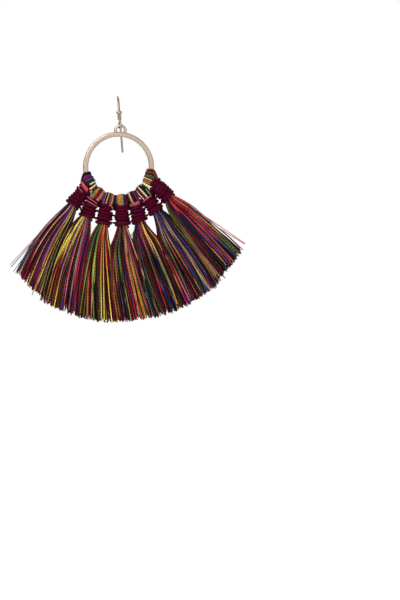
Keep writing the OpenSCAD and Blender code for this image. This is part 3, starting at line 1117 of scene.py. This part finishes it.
def thread_finish(
    name, plies, lay, colour=None, gloss=0.13, roughness=(0.42, 0.62), depth=0.00003, groove_shade=0.45
):
    """Twisted fibre. Its map runs round the thread in X and along it, in millimetres, in Y.

    Without a colour, it takes the mesh's own dye. Its grooves are darkened to the given share, as
    painted shade."""
    f = Finish(name, Specular_IOR_Level=gloss)
    x = f.put("ShaderNodeSeparateXYZ", {0: f.put("ShaderNodeUVMap", uv_map="UVMap")}, out=0)
    y = x.node.outputs[1]

    # Ridges of the twist, with painted shade in their grooves and a painted highlight on their
    # tops, fine fibres along them, and shades that change over the object
    turn = f.plus(f.times(x, float(plies)), f.math("DIVIDE", y, lay))
    ridge = f.math("ABSOLUTE", f.math("SINE", f.times(turn, math.pi)))
    stretched = {0: f.times(turn, FIBRES_ROUND), 1: f.times(y, FIBRES_ALONG)}
    fibre = f.noise(f.put("ShaderNodeCombineXYZ", stretched), FIBRE_SCALE, FIBRE_DETAIL)
    cloud = f.noise(f.here(), SHADE_SCALE)
    # Painted shade and highlight: darker in the twist's grooves, lighter on its ridges
    value = f.times(f.ranged(ridge, groove_shade, RIDGE_HIGHLIGHT), f.ranged(fibre, *FIBRE_SHADES))
    value = f.times(value, f.ranged(cloud, *CLOUD_SHADES, *CLOUD_RANGE))
    if colour is None:
        base = f.put("ShaderNodeAttribute", attribute_name="dye", out="Color")
    else:
        base = f.plain(colour)
    f.set("Base Color", f.scaled(base, value))
    f.set("Roughness", f.ranged(fibre, *roughness, *NOISE_RANGE))
    f.set("Normal", f.bump(TWIST_BUMP, depth, f.plus(ridge, f.times(fibre, FIBRE_BUMP))))
    return f.material


def metal_finish(name, centre, colour, roughness, shaded_below):
    """Satin plating, finely brushed round the given centre, browner in patches.

    Below the height given, in millimetres, and on the top of the ear wire's arch, the plating is
    painted grey as painted shade."""
    f = Finish(name, Metallic=1.0)
    here = f.here()
    shifted = f.put("ShaderNodeMapping", {"Vector": here, "Location": tuple(-c * MM for c in centre)})
    x = f.put("ShaderNodeSeparateXYZ", {0: shifted}, out=0)
    y, z = x.node.outputs[1], x.node.outputs[2]
    r = f.math("SQRT", f.plus(f.times(x, x), f.times(z, z)))
    turn = f.times(f.math("ARCTAN2", x, z), BRUSHED_ROUND)
    on_lines = {0: f.times(r, BRUSHED_FINE), 1: f.times(y, BRUSHED_FINE), 2: turn}
    brushed = f.noise(f.put("ShaderNodeCombineXYZ", on_lines), 1.0)
    patches = f.noise(shifted, PATCH_SCALE)

    # Painted shade: grey below the given height and at the top of the ear wire's arch
    height = f.put("ShaderNodeSeparateXYZ", {0: here}, out=2)
    low = f.ranged(height, 1.0, 0.0, (shaded_below - SHADE_FADE) * MM, shaded_below * MM)
    shaded_top = f.ranged(height, 0.0, 1.0, *(z * MM for z in SHADED_TOP_Z))
    base = f.blend(f.math("MAXIMUM", low, shaded_top), f.plain(colour), f.plain(SHADE_GREY))
    brown = f.vector_math("MULTIPLY", base, BROWNER)
    base = f.blend(f.ranged(patches, 0.0, BROWN_SHARE, *BROWN_RANGE), base, brown)
    f.set("Base Color", f.scaled(base, f.ranged(brushed, *BRUSHED_SHADES, *NOISE_RANGE)))

    rough = f.ranged(brushed, roughness - BRUSHED_ROUGH, roughness + BRUSHED_ROUGH, *NOISE_RANGE)
    f.set("Roughness", f.plus(rough, f.ranged(patches, *PATCHES_ROUGH, *NOISE_RANGE)))
    f.set("Normal", f.bump(BRUSHED_BUMP, BRUSHED_DEPTH, brushed))
    return f.material


def floor_finish(name, colour, glow):
    """Matt and pale. The camera sees it glow, about as light as the backdrop."""
    f = Finish(name, Roughness=0.9, Specular_IOR_Level=0.1, Emission_Color=(1.0, 1.0, 1.0, 1.0))
    seen = f.put("ShaderNodeLightPath", out="Is Camera Ray")
    f.set("Emission Strength", f.ranged(seen, 0.0, glow))
    grain = f.noise(f.here(), GRAIN_SCALE)
    f.set("Base Color", f.scaled(f.plain(colour), f.ranged(grain, *GRAIN_SHADES)))
    return f.material


# The earring

MATT = (0.6, 0.8)
DARKER = np.array([0.45, 0.45, 0.45, 1])

threads_grow = thread_tree()
cord_grow = cord_tree()
thread = thread_finish("mixed_thread", plies=2, lay=1.1)
# The cord's grooves are painted less dark: a lighter painted shade between its ridges
cord = thread_finish(
    "burgundy_cord", plies=1, lay=1.6, colour=tuple(dye("wound")),
    gloss=0.06, roughness=MATT, depth=0.00001, groove_shade=0.7,
)
dark_cord = thread_finish(
    "dark_cord", plies=1, lay=1.4, colour=tuple(dye("wound") * DARKER), gloss=0.08, roughness=MATT
)
hoop_metal = metal_finish("satin_hoop", HOOP_CENTRE, ROSE_GOLD, roughness=0.36, shaded_below=HOOP_SHADED_BELOW_Z)
wire_metal = metal_finish("satin_wire", WIRE_BRUSH_CENTRE, WIRE_GOLD, roughness=0.42, shaded_below=WIRE_SHADED_BELOW_Z)

# Cords of a single round strand, and of two twisted plies
ONE_PLY = dict(Plies=1, Ply_Ring=0.0, Ply_Radius=1.0, Sides=10)
TWO_PLIES = dict(Plies=2, Lay=0.0022)


def metal_parts():
    """The hoop, the ear wire and its bead are the solids themselves, in metal."""
    for node, metal in (("hoop", hoop_metal), ("ear_wire", wire_metal), ("ear_bead", wire_metal)):
        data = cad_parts[node].data
        data.materials.clear()
        data.materials.append(metal)


def fringe(i):
    """A tassel's threads below its neck."""
    piece = grown(
        f"fringe_{i + 1}", threads_grow, fringe_guides(i),
        Material=thread, Seed=FRINGE_SEED + SEED_STEP * i,
        Wander=0.0006, Crossing=0.0031, Uneven_Ends=0.055,
    )
    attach(piece, "drop")
    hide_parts(f"tassel_{i + 1}")


def fold(i):
    """A tassel's threads over the hoop."""
    piece = grown(
        f"fold_{i + 1}", threads_grow, fold_guides(i),
        Material=thread, Seed=FOLD_SEED + SEED_STEP * i,
        Thread_Radius=FOLD_THREAD_D / 2 * MM, Stations=24,
        Wander=0.0002, Wander_Length=0.003, Uneven_Ends=0.0,
    )
    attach(piece, "drop")
    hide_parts(f"tassel_{i + 1}")


def neck_winding(i):
    """The cord wound round a tassel's neck."""
    piece = grown(
        f"neck_winding_{i + 1}", cord_grow, winding_guides(i),
        Material=cord, Cord_Radius=WOUND_R * MM, **ONE_PLY,
    )
    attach(piece, "drop")
    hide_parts(f"neck_cord_{i + 1}")


def knot_cords():
    """The short dark cords between the necks."""
    piece = grown(
        "knot_cords", cord_grow, knot_guides(),
        Material=dark_cord, Cord_Radius=KNOT_R * MM, **TWO_PLIES,
    )
    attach(piece, "drop")


def ear_coil():
    """The coil of thin wire on the ear wire."""
    piece = grown(
        "ear_coil_wire", cord_grow, coil_guides(),
        Material=wire_metal, Cord_Radius=COIL_WIRE_R * MM, **ONE_PLY,
    )
    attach(piece, "hook")
    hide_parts("ear_coil")


def link_cord(name, radius):
    """One of the two cords that join all the necks."""
    piece = grown(
        f"link_{name}", cord_grow, link_guides(radius),
        Material=dark_cord, Cord_Radius=LINK_R * MM, **TWO_PLIES,
    )
    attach(piece, "drop")
    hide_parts(f"link_cord_{name}")


def loose_threads():
    """Threads that have left the fringe, and threads caught on the necks."""
    guides = Guides()
    for row in STRAYS:
        stray_guide(row, guides)
    for row in CAUGHT:
        caught_guide(row, guides)
    piece = grown(
        "loose_threads", threads_grow, guides,
        Material=thread, Seed=LOOSE_SEED, Wander=0.0003, Uneven_Ends=0.0,
    )
    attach(piece, "drop")


metal_parts()
for i in range(len(TASSELS)):
    fringe(i)
    fold(i)
    neck_winding(i)
knot_cords()
ear_coil()
for name, radius in LINK_RADII.items():
    link_cord(name, radius)
loose_threads()

# Floor, camera and light

# The photograph's frame in pixels, with the origin's place in it, and millimetres a pixel
PHOTO_W, PHOTO_H = 400, 600
ORIGIN_PX = (117.8, 97)
PHOTO_SCALE = 0.3521
LENS = 250.0
SENSOR = 36.0

# Metres
FLOOR_R = 0.9
FLOOR_Z = -0.2
FLOOR_SIDES = 64
LIT_POINT = (0, 0, -0.045)

# Each light's name, place, size and power
LIGHTS = [
    ("key", (-0.45, -0.6, 0.45), 0.5, 5.2),
    ("fill", (0.5, -0.55, 0.1), 0.6, 1.2),
    ("front", (0.0, -0.8, 0.05), 0.9, 1.5),
    ("back", (0.1, 0.6, 0.4), 0.6, 3.0),
]

# The floor's colour, how light it looks to the camera, and how strongly the backdrop shines
PALE = (0.9, 0.9, 0.9, 1)
FLOOR_GLOW = 0.62
BACKDROP_LIGHT = 0.36


def add_camera():
    """A long lens, straight at the middle of the photograph's frame."""
    x = (PHOTO_W / 2 - ORIGIN_PX[0]) * PHOTO_SCALE * MM
    z = -(PHOTO_H / 2 - ORIGIN_PX[1]) * PHOTO_SCALE * MM
    aim = Vector((x, -ARCH_R * MM, z))
    distance = PHOTO_H * PHOTO_SCALE * MM / SENSOR * LENS
    camera = in_scene("camera", bpy.data.cameras.new("camera"))
    camera.data.lens = LENS
    camera.data.sensor_width = SENSOR
    camera.data.clip_start = 0.01
    camera.data.clip_end = 20
    camera.location = aim + Vector((0, -distance, 0))
    camera.rotation_euler = (math.pi / 2, 0, 0)
    bpy.context.scene.camera = camera


def add_floor():
    """A round pale floor."""
    mesh = bpy.data.meshes.new("floor")
    angles = np.linspace(0, 2 * math.pi, FLOOR_SIDES, endpoint=False)
    rim = [(FLOOR_R * math.cos(a), FLOOR_R * math.sin(a), FLOOR_Z) for a in angles]
    mesh.from_pydata(rim, [], [tuple(range(FLOOR_SIDES))])
    mesh.materials.append(floor_finish("pale_floor", PALE, FLOOR_GLOW))
    floor = in_scene("floor", mesh)


def add_light(name, where, size, power):
    """A soft square light, turned to the middle of the earring."""
    light = in_scene(name, bpy.data.lights.new(name, "AREA"))
    light.data.size = size
    light.data.energy = power
    light.location = where
    light.rotation_euler = (Vector(LIT_POINT) - Vector(where)).to_track_quat("-Z", "Y").to_euler()


def add_backdrop():
    """It shows as white, and lights the earring more softly than that."""
    world = bpy.data.worlds.new("studio")
    bpy.context.scene.world = world
    world.use_nodes = True
    sky = NodeMaker(world.node_tree)
    backdrop = sky.tree.nodes["Background"]
    backdrop.inputs["Color"].default_value = (1, 1, 1, 1)
    seen = sky.put("ShaderNodeLightPath", out="Is Camera Ray")
    sky.tree.links.new(sky.ranged(seen, BACKDROP_LIGHT, 1.0), backdrop.inputs["Strength"])


add_camera()
add_floor()
for row in LIGHTS:
    add_light(*row)
add_backdrop()
bpy.context.scene.view_settings.view_transform = "Standard"
